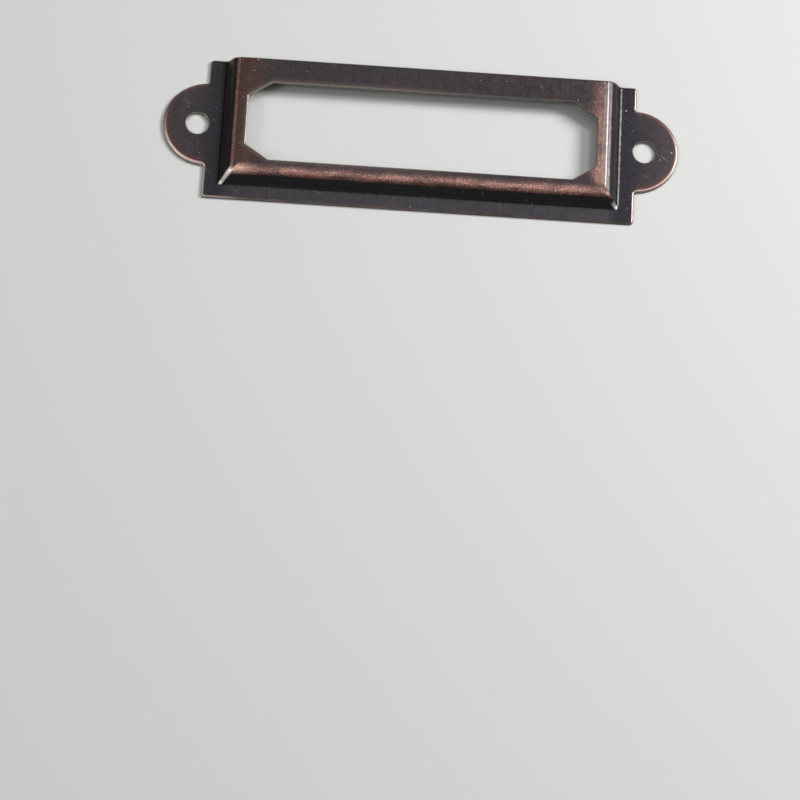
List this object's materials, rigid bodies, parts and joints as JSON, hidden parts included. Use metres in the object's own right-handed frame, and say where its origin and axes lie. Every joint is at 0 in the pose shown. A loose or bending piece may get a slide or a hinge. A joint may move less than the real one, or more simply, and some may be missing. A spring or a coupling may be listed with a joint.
{
  "type": "label frame",
  "caption": "Stamped sheet-metal drawer label frame: flat flange with rounded screw ears, and a raised windowed face open along one side for a card.",
  "frame": {"origin": "midway between the two screw holes, on the back face that lies against the drawer front", "axes": "+X along the frame from screw hole to screw hole, +Y to the open side where the card goes in, +Z out of the front"},
  "size_m": [0.0702, 0.0197, 0.0025],
  "materials": {
    "antique_copper": "copper plated steel, darkened to near black and rubbed back to copper along the edges"
  },
  "bodies": {
    "root": {"label_frame": "antique_copper"}
  },
  "joints": []
}
